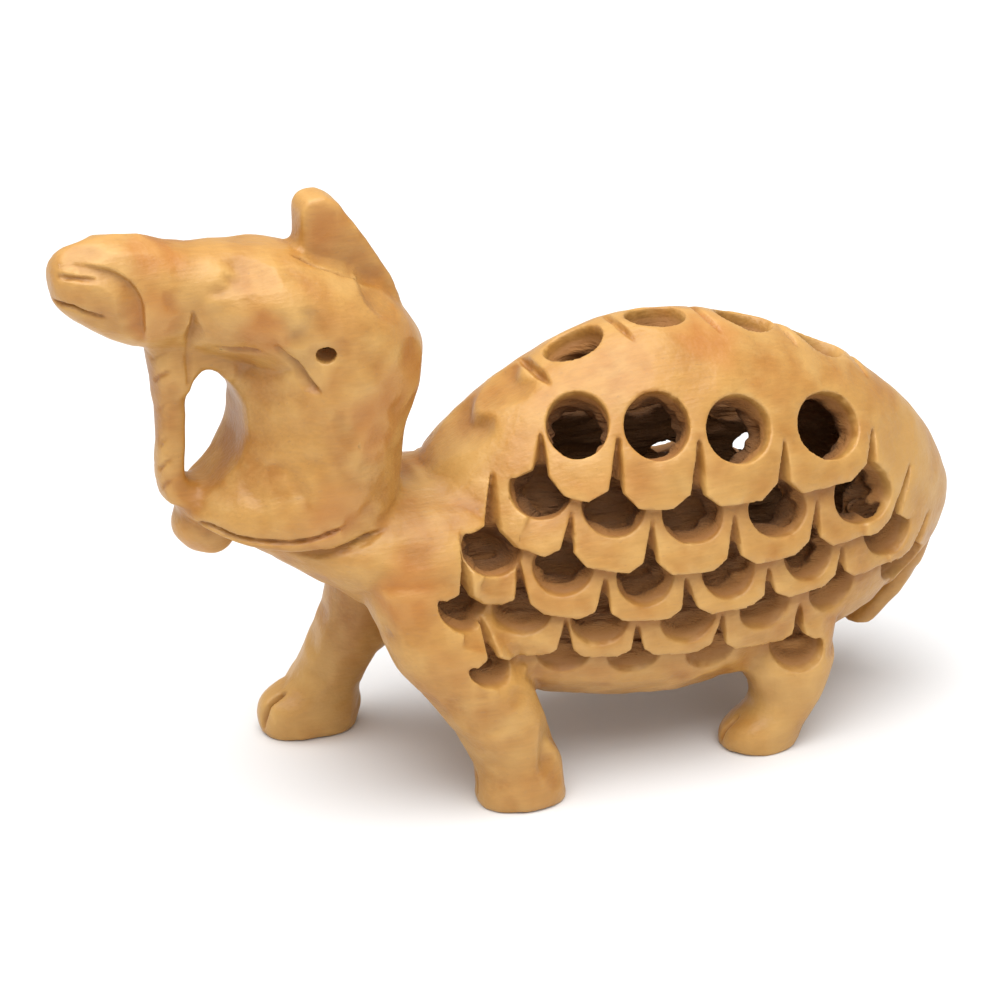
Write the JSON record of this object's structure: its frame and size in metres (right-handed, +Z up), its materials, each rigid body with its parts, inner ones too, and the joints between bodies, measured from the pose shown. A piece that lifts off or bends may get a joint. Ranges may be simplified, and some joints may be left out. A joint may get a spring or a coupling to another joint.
{
  "type": "pierced camel carving",
  "caption": "Small souvenir camel whittled from one block of wood, standing, with a hollow body pierced by rows of holes between overlapping scale tiles.",
  "frame": {"origin": "middle of the footprint box, on the ground under the feet", "axes": "+Y runs from the nose to the rump, so the camel faces -Y; +X is the camel's left side; +Z is up"},
  "size_m": [0.0338, 0.106, 0.07],
  "materials": {
    "wood": "waxed"
  },
  "bodies": {
    "root": {"camel": "wood"}
  },
  "joints": []
}
